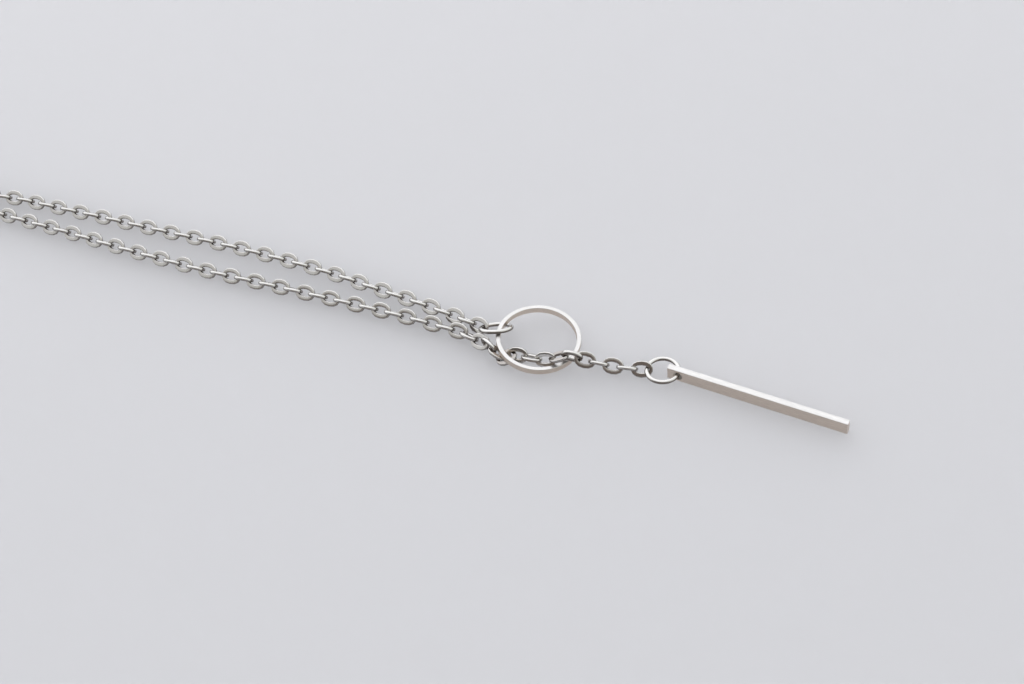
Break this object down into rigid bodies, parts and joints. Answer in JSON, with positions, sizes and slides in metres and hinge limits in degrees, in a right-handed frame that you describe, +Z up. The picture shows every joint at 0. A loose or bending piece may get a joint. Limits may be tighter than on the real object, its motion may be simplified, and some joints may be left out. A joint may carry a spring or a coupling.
{
  "type": "threader necklace",
  "caption": "Fine oval-link chain necklace lying closed: the chain passes back through a flat ring and ends in a slim bar.",
  "frame": {"origin": "under the middle of the necklace's outline as it lies, on the surface that it lies on", "axes": "+X along the bar, from the neck loop past the ring to the bar's free end; +Z up from the surface"},
  "size_m": [0.2433, 0.0738, 0.0034],
  "materials": {
    "satin_silver": "satin, light",
    "polished_silver": "polished",
    "chain_silver": "polished, slightly darkened between the links"
  },
  "bodies": {
    "root": {"threading_ring": "satin_silver", "ring_jump_ring": "polished_silver", "chain": "chain_silver", "bar_jump_ring": "polished_silver", "bar": "satin_silver"}
  },
  "joints": []
}
